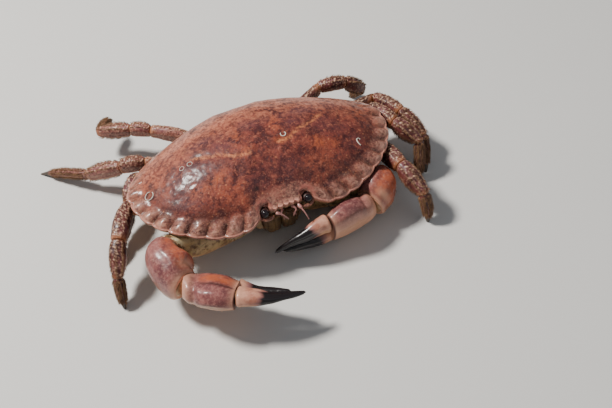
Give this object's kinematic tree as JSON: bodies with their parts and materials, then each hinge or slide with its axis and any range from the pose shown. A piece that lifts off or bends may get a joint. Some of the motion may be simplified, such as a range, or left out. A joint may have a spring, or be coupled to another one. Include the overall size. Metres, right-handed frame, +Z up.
{
  "type": "edible crab",
  "caption": "Life-size brown crab model at rest, with a broad pie-crust shell and black-tipped claws.",
  "frame": {"origin": "on the floor under the middle of the bounding box", "axes": "+X towards the crab's left side, -Y the way it faces, +Z up"},
  "size_m": [0.2262, 0.186, 0.059],
  "materials": {
    "shell": "satin, wet in places",
    "leg": "satin with bristles",
    "claw": "semi-gloss",
    "finger": "semi-gloss",
    "belly": "satin",
    "mouthpart": "satin",
    "eye": "gloss",
    "feeler": "satin"
  },
  "bodies": {
    "root": {"carapace": "shell", "sternum": "belly", "abdomen": "belly", "maxilliped_left": "mouthpart", "eye_left": "eye", "antenna_left": "feeler", "claw_left_base": "claw", "claw_left_merus": "claw", "claw_left_carpus": "claw", "claw_left_palm": "claw", "claw_left_finger": "finger", "maxilliped_right": "mouthpart", "eye_right": "eye", "antenna_right": "feeler", "claw_right_base": "claw", "claw_right_merus": "claw", "claw_right_carpus": "claw", "claw_right_palm": "claw", "claw_right_finger": "finger", "leg_left_1_base": "leg", "leg_left_1_merus": "leg", "leg_left_1_carpus": "leg", "leg_left_1_propodus": "leg", "leg_left_1_dactyl": "leg", "leg_left_2_base": "leg", "leg_left_2_merus": "leg", "leg_left_2_carpus": "leg", "leg_left_2_propodus": "leg", "leg_left_2_dactyl": "leg", "leg_left_3_base": "leg", "leg_left_3_merus": "leg", "leg_left_3_carpus": "leg", "leg_left_3_propodus": "leg", "leg_left_3_dactyl": "leg", "leg_left_4_base": "leg", "leg_left_4_merus": "leg", "leg_left_4_carpus": "leg", "leg_left_4_propodus": "leg", "leg_left_4_dactyl": "leg", "leg_right_1_base": "leg", "leg_right_1_merus": "leg", "leg_right_1_carpus": "leg", "leg_right_1_propodus": "leg", "leg_right_1_dactyl": "leg", "leg_right_2_base": "leg", "leg_right_2_merus": "leg", "leg_right_2_carpus": "leg", "leg_right_2_propodus": "leg", "leg_right_2_dactyl": "leg", "leg_right_3_base": "leg", "leg_right_3_merus": "leg", "leg_right_3_carpus": "leg", "leg_right_3_propodus": "leg", "leg_right_3_dactyl": "leg", "leg_right_4_base": "leg", "leg_right_4_merus": "leg", "leg_right_4_carpus": "leg", "leg_right_4_propodus": "leg", "leg_right_4_dactyl": "leg"}
  },
  "joints": []
}
